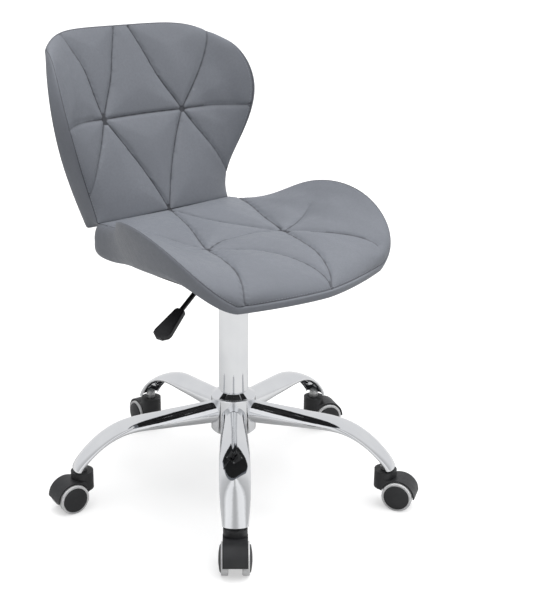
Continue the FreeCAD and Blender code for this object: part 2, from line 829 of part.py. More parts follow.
def back_at(share, inset=1.0):
    """Layer of the back at a share of its thickness behind the front."""
    def point(u, v):
        inner_v = 0.5 + (v - 0.5) * inset
        return mixed(BACK_FRONT.point(u * inset, inner_v), BACK_BEHIND.point(u * inset, inner_v), share)
    return point


def seat_crowned(u, v):
    return SEAT_TOP.point(u, v) + Vector(0, 0, float(S.seat_crown) * swell(u, v) * (1 - u * u / 2))


def back_crowned(u, v):
    return BACK_FRONT.point(u, v) + BACK_NORMAL * float(S.back_crown) * swell(u, v)


def bracket_line():
    """Path of a bracket in side view: along the top of the seat board, then up before the back board."""
    seat_level = float(S.plate_top + S.cover_thickness + S.board_thickness + S.bracket_thickness / 2)
    return [(85.0, seat_level + 1.7), (168.0, seat_level + 4.9), (175.0, 438.0), (214.6, 541.0)]


def bracket_sides():
    """X of the two brackets."""
    return [side * float(S.bracket_spacing) / 2 for side in (-1, 1)]


def make_bars(line):
    """Two bent bars that carry the back."""
    outline = thick_line(line, float(S.bracket_thickness) / 2)
    bars = []
    for x in bracket_sides():
        bar = padded_body("Bracket", "YZ_Plane", outline, S.bracket_width)
        bar.Placement = Placement(Vector(x, 0, 0), Rotation())
        bars.append(bar)
    return bars


def thick_line(line, half):
    """Outline of a bent strip, its corners mitred."""
    left = []
    right = []
    for index, point in enumerate(line):
        here = Vector(point[0], point[1], 0)
        before = Vector(*line[max(index - 1, 0)], 0)
        after = Vector(*line[min(index + 1, len(line) - 1)], 0)
        first = (here - before) if index else (after - here)
        second = (after - here) if index < len(line) - 1 else first
        first.normalize()
        second.normalize()
        middle = (first + second).normalize()
        reach = half / max(middle.dot(first), 0.2)
        side = Vector(-middle.y, middle.x, 0) * reach
        left.append((here.x + side.x, here.y + side.y))
        right.append((here.x - side.x, here.y - side.y))
    return left + right[::-1]


def screw(position, direction):
    """Countersunk screw with its head's face at the position, driven along the direction."""
    aim = Vector(*direction).normalize()
    turn = Rotation(Vector(0, 0, 1), aim)
    head = doc.addObject("Part::Cone", "ScrewHead")
    head.Radius1 = 4.8
    bind(head, "Radius2", S.screw_radius)
    head.Height = 2.6
    head.Placement = Placement(position, turn)
    shank = doc.addObject("Part::Cylinder", "ScrewShank")
    bind(shank, "Radius", S.screw_radius)
    shank.Height = 8.4
    shank.Placement = Placement(position + aim * 2.6, turn)
    return fuse([head, shank])


def make_screws(line, run, shares):
    """Screws through one straight run of each bracket, heads on its padded side."""
    half = float(S.bracket_thickness) / 2
    foot = Vector(0, *line[run])
    reach = Vector(0, *line[run + 1]) - foot
    inward = Vector(0, reach.z, -reach.y).normalize()
    screws = []
    for x in bracket_sides():
        for share in shares:
            screws.append(screw(Vector(x, 0, 0) + foot + reach * share - inward * half, tuple(inward)))
    return screws


def make_upholstery():
    line = bracket_line()
    bars = make_bars(line)
    seat_screws = make_screws(line, 0, (0.25, 0.72))
    back_screws = make_screws(line, 2, (0.42, 0.82))
    board_low = S.cover_thickness
    board_high = S.cover_thickness + S.board_thickness
    gap = 0.5

    cover_sheet = feature("DustCover", slab(seat_at(board_low, 0.93), seat_at(0, 0.93)))
    bolt_rooms = [cylinder(S.nut_radius + gap, 30, (x, y, S.plate_top - 10)) for x, y in bolt_places()]
    keep("seat_dust_cover", cut(cover_sheet, fuse(bolt_rooms)))

    board = feature("SeatBoard", slab(seat_at(board_high, 0.985), seat_at(board_low, 0.985)))
    nut_rooms = []
    for x, y in bolt_places():
        nut_rooms.append(cylinder(S.nut_radius, 20, (x, y, S.plate_top - 5)))
        nut_rooms.append(cylinder(S.nut_flange, 10, (x, y, S.plate_top + 6)))
    keep("seat_board", cut(board, fuse(nut_rooms + seat_screws)))

    pad = feature("SeatPad", slab(seat_crowned, seat_at(board_high + gap)))
    keep("seat_cushion", cut(pad, fuse(bars + seat_screws)))

    back_pad = feature("BackPad", slab(back_at(0.56), back_crowned))
    keep("back_cushion", cut(back_pad, fuse(bars + back_screws)))
    back_board = feature("BackBoard", slab(back_at(0.80, 0.975), back_at(0.58, 0.975)))
    keep("back_board", cut(back_board, fuse(back_screws)))
    keep("back_rear_panel", feature("RearPanel", slab(back_at(1.0), back_at(0.82))))

    drilled = [cut(bar, fuse(seat_screws + back_screws)) for bar in bars]
    keep("back_brackets", group(drilled))
    keep("bracket_screws", group(seat_screws + back_screws))


# ---------------------------------------------------------------------------
# Build, check and write
# ---------------------------------------------------------------------------

def check():
    failed = [item.Label for item in doc.Objects if "Invalid" in item.State or "Error" in item.State]
    if failed:
        raise RuntimeError("failed objects: " + ", ".join(failed))
    for name, item in nodes.items():
        if item.Shape.isNull() or not item.Shape.isValid():
            raise RuntimeError("%s has no valid shape" % name)
        if not item.Shape.Solids or item.Shape.Volume <= 0:
            raise RuntimeError("%s has no solid" % name)


def write():
    os.makedirs("parts", exist_ok=True)
    for name, item in nodes.items():
        item.Shape.exportStep(os.path.join("parts", name + ".step"))
        print("%-24s %2d solid(s) %10.1f mm3" % (name, len(item.Shape.Solids), item.Shape.Volume))


make_hub()
for arm_index in range(5):
    make_arm(arm_index)
make_sockets_and_stems()
make_casters()
make_column()
make_piston()
make_cylinder()
make_plate()
make_bolts()
make_lever()
make_upholstery()
doc.recompute()
check()
write()
print(len(nodes), "nodes")
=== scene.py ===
"""Looks of the adjustable swivel stool: quilted upholstery, chrome, moulded plastic, light and camera.

Metres, in the model's own frame: +Z up, the floor is Z = 0, the sitter faces -Y.
"""

import json
import math

import bmesh
import bpy
import numpy as np
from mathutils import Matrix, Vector
from mathutils.bvhtree import BVHTree
from mathutils.geometry import delaunay_2d_cdt


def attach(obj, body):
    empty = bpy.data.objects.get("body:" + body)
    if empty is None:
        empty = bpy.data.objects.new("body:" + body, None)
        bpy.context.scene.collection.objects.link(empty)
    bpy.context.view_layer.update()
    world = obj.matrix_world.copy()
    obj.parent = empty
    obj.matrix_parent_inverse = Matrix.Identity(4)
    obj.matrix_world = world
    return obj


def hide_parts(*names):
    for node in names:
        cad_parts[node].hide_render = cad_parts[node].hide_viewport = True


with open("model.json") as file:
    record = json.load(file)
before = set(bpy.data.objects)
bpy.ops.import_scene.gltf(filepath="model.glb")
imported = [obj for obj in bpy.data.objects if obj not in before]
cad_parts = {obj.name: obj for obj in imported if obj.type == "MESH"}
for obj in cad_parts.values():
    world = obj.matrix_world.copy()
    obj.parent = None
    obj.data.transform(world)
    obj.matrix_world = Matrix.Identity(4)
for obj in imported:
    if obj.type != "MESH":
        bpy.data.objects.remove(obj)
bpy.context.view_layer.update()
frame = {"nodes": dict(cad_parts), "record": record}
MM = 0.001

# ---------------------------------------------------------------------------
# Upholstery shape: X, Y, Z in millimetres of each edge's right half and each middle line, from the
# waist, where seat and back meet, outwards
# ---------------------------------------------------------------------------

SEAT_EDGE = [(144, 172, 453), (147, 135, 457), (168, 90, 468), (204, 38, 494),
             (224, -40, 500), (220, -115, 474), (198, -163, 436), (156, -181, 403)]
SEAT_MIDDLE = [(0, 162, 455), (0, 100, 448), (0, 40, 443), (0, -23, 440),
               (0, -100, 437), (0, -160, 429), (0, -196, 416), (0, -214, 402)]
SEAT_FOOT = [(140, 186, 398), (143, 145, 396), (158, 85, 408), (184, 20, 422),
             (203, -40, 433), (206, -105, 434), (190, -148, 412), (155, -177, 391)]
SEAT_FOOT_MIDDLE = [(0, 188, 397.4), (0, 120, 393.4), (0, 60, 392.5), (0, -20, 392.4),
                    (0, -90, 392.4), (0, -150, 392.2), (0, -190, 391.2), (0, -212, 390)]
BACK_EDGE = [(144, 173, 452), (151, 184, 497), (170, 177, 545), (190, 167, 597),
             (203, 170, 655), (198, 196, 705), (180, 247, 730)]
BACK_MIDDLE = [(0, 162, 455), (0, 196, 534), (0, 230, 613), (0, 260, 690), (0, 289, 757)]
BACK_REAR = [(144, 205, 439), (155, 217, 483), (179, 206, 533), (204, 189, 588),
             (216, 185, 644), (206, 207, 691), (168, 262, 721)]
BACK_REAR_MIDDLE = [(0, 195, 441), (0, 227, 521), (0, 256, 602), (0, 281, 681), (0, 307, 749)]

# Quilting seams in patch coordinates: u across from -1 to 1, v from the waist out, then how hard the
# seam is pulled down at that point, from 0 to 1.
BACK_NODE = (0.43, 0.522, 1.0)
SEAT_NODE = (0.372, 0.505, 1.0)


def mirrored(line):
    return [(-u, v, pull) for u, v, pull in line]


def both(line):
    return [line, mirrored(line)]


BACK_NODE_LEFT, SEAT_NODE_LEFT = mirrored([BACK_NODE, SEAT_NODE])
BACK_SEAMS = (
    [[BACK_NODE_LEFT, (0.0, 0.524, 0.85), BACK_NODE]]
    + both([BACK_NODE, (0.26, 0.70, 0.9), (0.164, 0.865, 0.8), (0.08, 1.0, 0.7)])
    + both([BACK_NODE, (0.72, 0.528, 0.55), (1.0, 0.525, 0.4)])
    + both([BACK_NODE, (0.575, 0.402, 0.8), (0.78, 0.27, 0.55), (1.0, 0.14, 0.35)])
    + both([BACK_NODE, (0.245, 0.295, 0.9), (0.0, 0.0, 0.9)])
    + [[BACK_NODE, (0.594, 0.669, 0.9), (0.844, 0.918, 0.6), (0.92, 1.0, 0.3)],
       [BACK_NODE_LEFT, (-0.50, 0.77, 0.8), (-0.64, 0.91, 0.4), (-0.75, 1.0, 0.15)]])
SEAT_SEAMS = (
    [[SEAT_NODE_LEFT, (-0.18, 0.448, 0.85), (0.0, 0.438, 0.8), (0.195, 0.446, 0.85), SEAT_NODE]]
    + both([SEAT_NODE, (0.12, 0.165, 0.8), (0.0, 0.0, 0.8)])
    + both([SEAT_NODE, (0.56, 0.31, 0.75), (0.884, 0.124, 0.7), (1.0, 0.06, 0.6)])
    + both([SEAT_NODE, (0.58, 0.488, 0.6), (0.76, 0.465, 0.1)])
    + [[SEAT_NODE, (0.465, 0.579, 0.85), (0.562, 0.672, 0.8), (0.674, 0.77, 0.7), (0.82, 0.88, 0.3)],
       [SEAT_NODE_LEFT, (-0.423, 0.617, 0.8), (-0.531, 0.761, 0.8), (-0.685, 0.874, 0.7),
        (-0.90, 0.985, 0.5)],
       [SEAT_NODE, (0.30, 0.66, 0.8), (0.24, 0.79, 0.75), (0.135, 0.927, 0.7), (0.03, 1.0, 0.6)],
       [SEAT_NODE_LEFT, (-0.11, 0.617, 0.7), (0.0, 0.766, 0.7), (0.05, 0.93, 0.7), (0.03, 1.0, 0.6)]])


class Spline:
    """Cubic curve through points, not-a-knot at its ends; its parameter, 0 to 1, follows the chords."""

    def __init__(self, points):
        self.points = np.array(points, float) * MM
        chord = np.linalg.norm(np.diff(self.points, axis=0), axis=1)
        self.knots = np.concatenate([[0.0], np.cumsum(chord)]) / chord.sum()
        count, gap = len(self.knots), np.diff(self.knots)
        slope = np.diff(self.points, axis=0) / gap[:, None]
        system, change = np.zeros((count, count)), np.zeros((count, 3))
        for i in range(1, count - 1):
            system[i, i - 1:i + 2] = gap[i - 1], 2 * (gap[i - 1] + gap[i]), gap[i]
            change[i] = 6 * (slope[i] - slope[i - 1])
        system[0, :3] = gap[1], -(gap[0] + gap[1]), gap[0]
        system[-1, -3:] = gap[-1], -(gap[-2] + gap[-1]), gap[-2]
        self.second = np.linalg.solve(system, change)

    def __call__(self, v):
        v = np.asarray(v, float)
        i = np.clip(np.searchsorted(self.knots, v) - 1, 0, len(self.knots) - 2)
        gap = (self.knots[i + 1] - self.knots[i])[:, None]
        a, b = (self.knots[i + 1] - v)[:, None] / gap, (v - self.knots[i])[:, None] / gap
        bend = ((a ** 3 - a) * self.second[i] + (b ** 3 - b) * self.second[i + 1]) * gap * gap / 6
        return a * self.points[i] + b * self.points[i + 1] + bend


class Patch:
    """Surface between a mirrored edge curve and a middle line; the powers say how it bends across."""

    LATE = 0.6
    STEP = 0.004

    def __init__(self, edge, middle, depth_power, rise_power):
        self.edge, self.middle = Spline(edge), Spline(middle)
        self.depth_power, self.rise_power = depth_power, rise_power

    def at(self, u, v):
        u, v = np.broadcast_arrays(np.atleast_1d(np.asarray(u, float)), np.asarray(v, float))
        edge, middle, across = self.edge(v), self.middle(v), np.abs(u)
        late = np.clip((v - self.LATE) / (1 - self.LATE), 0, 1)
        y = middle[:, 1] + (edge[:, 1] - middle[:, 1]) * across ** self.depth_power(late)
        z = middle[:, 2] + (edge[:, 2] - middle[:, 2]) * across ** self.rise_power(late)
        return np.stack([u * edge[:, 0], y, z], axis=1)

    def normal(self, u, v, towards):
        across = self.at(u + self.STEP, v) - self.at(u - self.STEP, v)
        along = self.at(u, np.clip(v + self.STEP, 0, 1)) - self.at(u, np.clip(v - self.STEP, 0, 1))
        normal = np.cross(across, along)
        normal /= np.linalg.norm(normal, axis=1)[:, None]
        return normal * np.sign(normal @ np.array(towards, float))[:, None]


SEAT_TOP = Patch(SEAT_EDGE, SEAT_MIDDLE, lambda t: 2 - 0.5 * t, lambda t: 3.6 - 0.6 * t)
SEAT_UNDER = Patch(SEAT_FOOT, SEAT_FOOT_MIDDLE, lambda t: 2 - 0.5 * t, lambda t: 4.0 + 0 * t)
BACK_FRONT = Patch(BACK_EDGE, BACK_MIDDLE, lambda t: 3.4 + 0 * t, lambda t: 2 + 4 * t)
BACK_BEHIND = Patch(BACK_REAR, BACK_REAR_MIDDLE, lambda t: 3.4 + 0 * t, lambda t: 2 + 4 * t)


# ---------------------------------------------------------------------------
# Materials
# ---------------------------------------------------------------------------

class Shader:
    """A node material: constants go straight on the surface shader, textures are linked to it."""

    def __init__(self, name, **constants):
        self.material = bpy.data.materials.new(name)
        self.material.use_nodes = True
        self.tree = self.material.node_tree
        self.surface = self.tree.nodes["Principled BSDF"]
        for key, value in constants.items():
            self.surface.inputs[key.replace("_", " ")].default_value = value
        self.place = self.node("ShaderNodeTexCoord").outputs["Object"]

    def node(self, kind, **inputs):
        made = self.tree.nodes.new(kind)
        for key, value in inputs.items():
            socket = made.inputs[key.replace("_", " ")]
            if isinstance(value, bpy.types.NodeSocket):
                self.tree.links.new(value, socket)
            else:
                socket.default_value = value
        return made

    def link(self, output, socket):
        self.tree.links.new(output, self.surface.inputs[socket])

    def stretched(self, scale):
        made = self.node("ShaderNodeMapping", Vector=self.place, Scale=scale)
        return made.outputs["Vector"]

    def noise(self, scale, detail=3.0, vector=None):
        made = self.node("ShaderNodeTexNoise", Vector=vector or self.place, Scale=scale, Detail=detail)
        return made.outputs["Fac"]

    def cells(self, scale):
        made = self.node("ShaderNodeTexVoronoi", Vector=self.place, Scale=scale)
        made.feature = "DISTANCE_TO_EDGE"
        return made.outputs["Distance"]

    def spread(self, value, low, high, start=0.3, end=0.7):
        made = self.node("ShaderNodeMapRange", Value=value)
        for key, number in (("From Min", start), ("From Max", end), ("To Min", low), ("To Max", high)):
            made.inputs[key].default_value = number
        return made.outputs["Result"]

    def blend(self, share, first, second):
        made = self.tree.nodes.new("ShaderNodeMix")
        made.data_type = "RGBA"
        for index, value in ((0, share), (6, first), (7, second)):
            if isinstance(value, bpy.types.NodeSocket):
                self.tree.links.new(value, made.inputs[index])
            else:
                made.inputs[index].default_value = value if index == 0 else (*value, 1.0)
        return made.outputs[2]

    def tone(self, mask, dark, light):
        self.link(self.blend(self.spread(mask, 0, 1), dark, light), "Base Color")

    def roughness(self, mask, low, high):
        self.link(self.spread(mask, low, high), "Roughness")

    def bumps(self, *layers):
        """Each layer is a height and how deep it is, in metres."""
        last = None
        for height, depth in layers:
            made = self.node("ShaderNodeBump", Height=height, Strength=1.0, Distance=depth)
            if last is not None:
                self.tree.links.new(last, made.inputs["Normal"])
            last = made.outputs["Normal"]
        self.link(last, "Normal")

    def attribute(self, name):
        made = self.tree.nodes.new("ShaderNodeAttribute")
        made.attribute_name = name
        return made.outputs["Fac"]

    def math(self, operation, first, second):
        made = self.tree.nodes.new("ShaderNodeMath")
        made.operation = operation
        for index, value in enumerate((first, second)):
            if isinstance(value, bpy.types.NodeSocket):
                self.tree.links.new(value, made.inputs[index])
            else:
                made.inputs[index].default_value = value
        return made.outputs["Value"]


def leather():
    s = Shader("leather", Specular_IOR_Level=0.28, Sheen_Weight=0.03, Sheen_Roughness=0.5)
    tone = s.blend(s.spread(s.noise(7.0, 4.0), 0, 1), (0.160, 0.170, 0.192), (0.184, 0.195, 0.219))
    mottled = s.blend(s.spread(s.noise(260.0, 2.0), 0, 0.5), tone, (0.150, 0.160, 0.180))
    # Painted shade: a dark line blended into the leather's colour within about 2 mm of each seam and of
    # the rim, as strong as the seam's pull, standing in for the shade in the seam's groove.
    seam_shade_falloff = s.spread(s.attribute("seam_distance"), 1, 0, 0.3 * MM, 2.1 * MM)
    crease = s.math("MULTIPLY", seam_shade_falloff, s.attribute("seam_pull"))
    s.link(s.blend(crease, mottled, (0.030, 0.031, 0.036)), "Base Color")
    s.roughness(s.noise(90.0), 0.44, 0.56)
    s.bumps((s.cells(850.0), 0.00018), (s.noise(1500.0, 2.0), 0.00007), (s.noise(34.0, 2.0), 0.00035))
    return s.material


def chrome():
    s = Shader("chrome", Metallic=1.0)
    s.tone(s.noise(18.0), (0.80, 0.81, 0.83), (0.86, 0.87, 0.88))
    s.roughness(s.noise(60.0, 4.0), 0.025, 0.07)
    s.bumps((s.noise(35.0, 1.0), 0.00003),)
    return s.material


def steel():
    s = Shader("zinc_steel", Metallic=1.0)
    s.tone(s.noise(140.0), (0.44, 0.45, 0.46), (0.58, 0.58, 0.57))
    s.roughness(s.noise(500.0), 0.22, 0.40)
    s.bumps((s.noise(900.0), 0.00004),)
    return s.material


def black_steel():
    s = Shader("powder_coat", Specular_IOR_Level=0.5)
    s.tone(s.noise(60.0), (0.010, 0.010, 0.011), (0.020, 0.020, 0.021))
    s.roughness(s.noise(200.0), 0.28, 0.42)
    s.bumps((s.noise(1100.0, 1.0), 0.00009),)
    return s.material


def plastic():
    s = Shader("moulded_plastic", Specular_IOR_Level=0.42)
    s.tone(s.noise(40.0), (0.0145, 0.0148, 0.016), (0.022, 0.0225, 0.024))
    s.roughness(s.noise(160.0), 0.36, 0.50)
    s.bumps((s.cells(1400.0), 0.00005), (s.noise(700.0, 2.0), 0.00004))
    return s.material


def tread():
    s = Shader("soft_tread", Specular_IOR_Level=0.35)
    s.tone(s.noise(50.0), (0.60, 0.60, 0.61), (0.70, 0.70, 0.70))
    s.roughness(s.noise(120.0), 0.45, 0.62)
    s.bumps((s.noise(500.0), 0.00006),)
    return s.material


def lining():
    s = Shader("lining_cloth", Specular_IOR_Level=0.2)
    s.tone(s.noise(300.0), (0.008, 0.008, 0.009), (0.022, 0.022, 0.023))
    s.roughness(s.noise(90.0), 0.75, 0.92)
    s.bumps((s.noise(700.0, 1.0, s.stretched((1, 0.15, 1))), 0.0002),
            (s.noise(700.0, 1.0, s.stretched((0.15, 1, 1))), 0.0002))
    return s.material


def plywood():
    s = Shader("plywood", Specular_IOR_Level=0.3)
    grain = s.noise(30.0, 5.0, s.stretched((0.4, 6.0, 30.0)))
    s.tone(grain, (0.42, 0.27, 0.14), (0.62, 0.45, 0.27))
    s.roughness(grain, 0.55, 0.7)
    s.bumps((grain, 0.0002),)
    return s.material


def thread():
    s = Shader("thread", Specular_IOR_Level=0.3)
    s.tone(s.noise(900.0), (0.21, 0.22, 0.25), (0.27, 0.28, 0.31))
    s.roughness(s.noise(600.0), 0.5, 0.7)
    s.bumps((s.noise(2600.0, 1.0), 0.0001),)
    return s.material


MATERIALS = {
    "chrome": chrome(), "steel": steel(), "black_steel": black_steel(), "charcoal_plastic": plastic(),
    "grey_tread": tread(), "grey_leather": leather(), "black_cloth": lining(), "plywood": plywood(),
}
THREAD = thread()
SLOT_OF = {row["node"]: row["material_slot"] for row in frame["record"]["subparts"]}

for node_name, node in frame["nodes"].items():
    node.data.materials.clear()
    node.data.materials.append(MATERIALS[SLOT_OF[node_name]])


# ---------------------------------------------------------------------------
# Quilted covers
# ---------------------------------------------------------------------------

SPAN_STEPS = 40          # points worked out between two given points of a seam
CLEAR_OF_SEAM = 0.62     # least distance of an inner point from a seam, in spacings
CLEAR_OF_SIDE = 0.6      # and from the panel's sides
SAME_PLACE = 0.1 * MM    # points nearer than this are merged
NO_SEAM = 0.05           # distance given to points that no seam shades, in metres
RIM_LINE = 0.85          # how strongly the painted shade line along the rim shows, and along a seam where it is pulled down whole
WHOLE_PULL = 0.97
CORNER_SIZE = 0.045      # reach of the rounding at the waist corners, along the rim


def smooth_line(line, scale, spacing):
    """Points along a smooth curve through a seam's points, evenly spaced, with the pull at each."""
    knots = np.array([(u * scale[0], v * scale[1], pull) for u, v, pull in line])
    padded = np.vstack([2 * knots[0] - knots[1], knots, 2 * knots[-1] - knots[-2]])
    dense = []
    for i in range(len(knots) - 1):
        a, b, c, d = padded[i:i + 4]
        for t in np.linspace(0, 1, SPAN_STEPS, endpoint=False):
            dense.append(0.5 * (2 * b + (c - a) * t + (2 * a - 5 * b + 4 * c - d) * t * t
                                + (3 * b - a - 3 * c + d) * t ** 3))
    dense.append(knots[-1])
    dense = np.array(dense)
    length = np.concatenate([[0], np.cumsum(np.linalg.norm(np.diff(dense[:, :2], axis=0), axis=1))])
    steps = max(2, int(round(length[-1] / spacing)))
    marks = np.linspace(0, length[-1], steps + 1)
    found = np.stack([np.interp(marks, length, dense[:, k]) for k in range(3)], axis=1)
    found[:, 0] = np.clip(found[:, 0], -scale[0], scale[0])
    found[:, 1] = np.clip(found[:, 1], 0, scale[1])
    return found


def flat_mesh(seams, scale, spacing):
    """Triangles over the patch's rectangle whose edges follow the rim and every seam.

    Gives the flat points, the faces, and how hard each point is pulled down by its seam.
    """
    half, length = scale
    points, edges, pulls = [], [], []

    def add(run, pull):
        first = len(points)
        points.extend(Vector(p) for p in run)
        pulls.extend(pull)
        edges.extend((first + i, first + i + 1) for i in range(len(run) - 1))

    corners = [(-half, 0), (half, 0), (half, length), (-half, length), (-half, 0)]
    for a, b in zip(corners, corners[1:]):
        count = int(round(math.dist(a, b) / spacing))
        add([(a[0] + (b[0] - a[0]) * t / count, a[1] + (b[1] - a[1]) * t / count)
             for t in range(count + 1)], [0.0] * (count + 1))
    for line in seams:
        run = smooth_line(line, scale, spacing)
        add([(p[0], p[1]) for p in run], list(run[:, 2]))
    fixed = np.array([tuple(p) for p in points])
    inner = []
    rows = int(length / (spacing * math.sqrt(0.75)))
    for j in range(1, rows):
        for i in range(int(2 * half / spacing)):
            x, y = -half + spacing * (i + 0.25 + 0.5 * (j % 2)), length * j / rows
            nearest = np.min(np.hypot(fixed[:, 0] - x, fixed[:, 1] - y))
            if nearest > CLEAR_OF_SEAM * spacing and abs(x) < half - CLEAR_OF_SIDE * spacing:
                inner.append(Vector((x, y)))
    out = delaunay_2d_cdt(points + inner, edges, [], 0, SAME_PLACE, True)
    verts, faces, origin = out[0], out[2], out[3]
    pull = [max([pulls[k] for k in ids if k < len(pulls)], default=0.0) for ids in origin]
    return np.array([tuple(v) for v in verts]), [tuple(f) for f in faces], np.array(pull)


def rim_order(flat, scale):
    """Indices of the rim's points in order round the rectangle, starting at the waist."""
    half, length = scale
    tiny = SAME_PLACE / 2
    marks = []
    for index, (x, y) in enumerate(flat):
        if y < tiny:
            marks.append((x + half, index))
        elif x > half - tiny:
            marks.append((2 * half + y, index))
        elif y > length - tiny:
            marks.append((3 * half + length - x, index))
        elif x < -half + tiny:
            marks.append((4 * half + 2 * length - y, index))
    return [index for _, index in sorted(marks)]


def nearest_seam(flat, seams, scale):
    """Distance to the nearest seam for each flat point, and that seam's pull there."""
    distance, pull = np.full(len(flat), NO_SEAM), np.zeros(len(flat))
    if not seams:
        return distance, pull
    runs = np.vstack([smooth_line(line, scale, 1.0 * MM) for line in seams])
    for index, (x, y) in enumerate(flat):
        away = np.hypot(runs[:, 0] - x, runs[:, 1] - y)
        nearest = int(np.argmin(away))
        distance[index], pull[index] = away[nearest], runs[nearest, 2]
    return distance, pull


class Cover:
    """A sewn cover: its panel, the rows of the band round its rim, and what each point is for.

    pin is how firmly a point is sewn down, limit how far the rest may swell, as a share, and pull how
    hard its seam sinks it. distance and seam_pull are of the nearest seam or rim: they shape the crown
    and set the painted shade, a dark line blended into the leather's colour along the seam or rim.
    """

    def __init__(self, name, panel, seams, scale, spacing, outward):
        self.name, self.scale, self.outward = name, scale, outward
        self.flat, self.faces, self.pull = flat_mesh(seams, scale, spacing)
        u, v = self.flat[:, 0] / scale[0], self.flat[:, 1] / scale[1]
        self.points = panel.at(u, v)
        self.rim = rim_order(self.flat, scale)
        self.distance, self.seam_pull = nearest_seam(self.flat, seams, scale)
        x, y = np.abs(self.flat[:, 0]), self.flat[:, 1]
        to_rim = np.maximum(np.minimum(np.minimum(scale[0] - x, scale[1] - y), y), 0)
        at_rim = to_rim < self.distance
        self.distance = np.where(at_rim, to_rim, self.distance)
        self.seam_pull = np.where(at_rim, RIM_LINE, self.seam_pull)
        self.seam_pull[self.seam_pull > WHOLE_PULL] = RIM_LINE
        self.pin = self.pull.copy()
        self.pin[self.rim] = 1.0
        self.limit = np.ones(len(self.points))
        self.rows = [list(self.rim)]
        self.seam_edges = {(a, b) for f in self.faces for a, b in zip(f, f[1:] + f[:1])
                           if self.pull[a] > 0 and self.pull[b] > 0}

    def rim_uv(self):
        return self.flat[self.rim, 0] / self.scale[0], self.flat[self.rim, 1] / self.scale[1]

    def corner_reach(self, size):
        """1 at the two waist corners of the rim, falling off over a size along it."""
        x, y = np.abs(self.flat[self.rim, 0]), self.flat[self.rim, 1]
        return np.exp(-((self.scale[0] - x + y) / size) ** 2)

    def softened(self, points, rounds):
        """A band row with its sharp turns at the waist corners rounded off."""
        share = np.clip(self.corner_reach(CORNER_SIZE) * 1.6, 0, 1)[:, None] * 0.5
        for _ in range(rounds):
            beside = (np.roll(points, 1, axis=0) + np.roll(points, -1, axis=0)) * 0.5
            points = points * (1 - share) + beside * share
        return points

    def add_row(self, points, pin, limit):
        """One more row of the band, joined to the last."""
        first, count = len(self.points), len(points)
        self.points = np.vstack([self.points, points])
        self.pin = np.concatenate([self.pin, np.full(count, pin)])
        self.limit = np.concatenate([self.limit, np.broadcast_to(limit, count)])
        self.distance = np.concatenate([self.distance, np.full(count, NO_SEAM)])
        self.seam_pull = np.concatenate([self.seam_pull, np.full(count, RIM_LINE)])
        self.pull = np.concatenate([self.pull, np.zeros(count)])
        row, above = list(range(first, first + count)), self.rows[-1]
        for i in range(count):
            k = (i + 1) % count
            self.faces.append((above[k], above[i], row[i], row[k]))
        self.rows.append(row)

    def build(self):
        mesh = bpy.data.meshes.new(self.name)
        mesh.from_pydata([tuple(p) for p in self.points], [], self.faces)
        item = bpy.data.objects.new(self.name, mesh)
        bpy.context.scene.collection.objects.link(item)
        panel_normal = sum((mesh.polygons[i].normal for i in range(40)), Vector())
        if panel_normal.dot(Vector(self.outward)) < 0:
            mesh.flip_normals()
        return item


def evened(travel, item, cover, rounds):
    """Smooth the travel over the mesh, leaving the sewn points alone."""
    ends = np.array([tuple(edge.vertices) for edge in item.data.edges])
    count = np.bincount(ends.ravel(), minlength=len(travel))[:, None]
    share = 0.6 * (1 - np.minimum(cover.pin, 1))[:, None]
    for _ in range(rounds):
        total = np.zeros_like(travel)
        np.add.at(total, ends[:, 0], travel[ends[:, 1]])
        np.add.at(total, ends[:, 1], travel[ends[:, 0]])
        travel = travel * (1 - share) + total / count * share
    return travel


SEWN_DOWN = 0.9          # a point pinned harder than this doesn't rise
FREE = 0.02              # a point pinned less than this isn't held at all
FOAM_SHARE = 0.65        # the foam's even crown; the rest of the shape comes from the cloth


def foam_travel(item, cover, crown):
    """Travel of an evenly crowned cover: steep beside its seams, then level."""
    near, far = (np.minimum(cover.distance / reach, 1) for reach in (0.022, 0.05))
    rise = 0.45 * np.sqrt(1 - (1 - near) ** 2) + 0.55 * far * far * (3 - 2 * far)
    normals = np.array([v.normal for v in item.data.vertices])
    return normals * (crown * rise * cover.limit * (cover.pin < SEWN_DOWN))[:, None]


def cloth_travel(item, cover, frames, crown, cap):
    """Travel of the cover blown up as cloth between its seams, scaled to the crown and capped."""
    group = item.vertex_groups.new(name="sewn")
    for index, weight in enumerate(cover.pin):
        if weight > FREE:
            group.add([index], float(min(1.0, weight * 1.15)), "REPLACE")
    cloth = item.modifiers.new("Cloth", "CLOTH")
    settings = cloth.settings
    settings.quality = 5
    settings.mass = 0.2
    settings.tension_stiffness = settings.compression_stiffness = 15
    settings.shear_stiffness = 8
    settings.bending_stiffness = 6
    settings.vertex_group_mass = "sewn"
    settings.use_pressure = True
    settings.uniform_pressure_force = 4.0
    settings.effector_weights.gravity = 0
    cloth.collision_settings.use_collision = False
    cloth.point_cache.frame_start, cloth.point_cache.frame_end = 1, frames
    for number in range(1, frames + 1):
        bpy.context.scene.frame_set(number)
    start = np.array([v.co for v in item.data.vertices])
    view = bpy.context.evaluated_depsgraph_get()
    travel = np.array([v.co for v in item.evaluated_get(view).data.vertices]) - start
    item.modifiers.clear()
    bpy.context.scene.frame_set(1)
    reach = np.linalg.norm(travel, axis=1)
    typical = np.percentile(reach[cover.pin < FREE], 92)
    travel *= crown / max(typical, 1e-5)
    reach = np.linalg.norm(travel, axis=1)
    return travel * (np.tanh(reach / cap) * cap / np.maximum(reach, 1e-9) * cover.limit)[:, None]


def inflate(item, cover, frames, crown, cap):
    travel = foam_travel(item, cover, crown)
    blown = evened(cloth_travel(item, cover, frames, crown, cap), item, cover, 8)
    travel = FOAM_SHARE * travel + (1 - FOAM_SHARE) * blown
    moved = np.array([v.co for v in item.data.vertices]) + travel
    item.data.vertices.foreach_set("co", moved.ravel())
    item.data.update()


RIM_CREASE, SEAM_CREASE = 0.9, 0.85


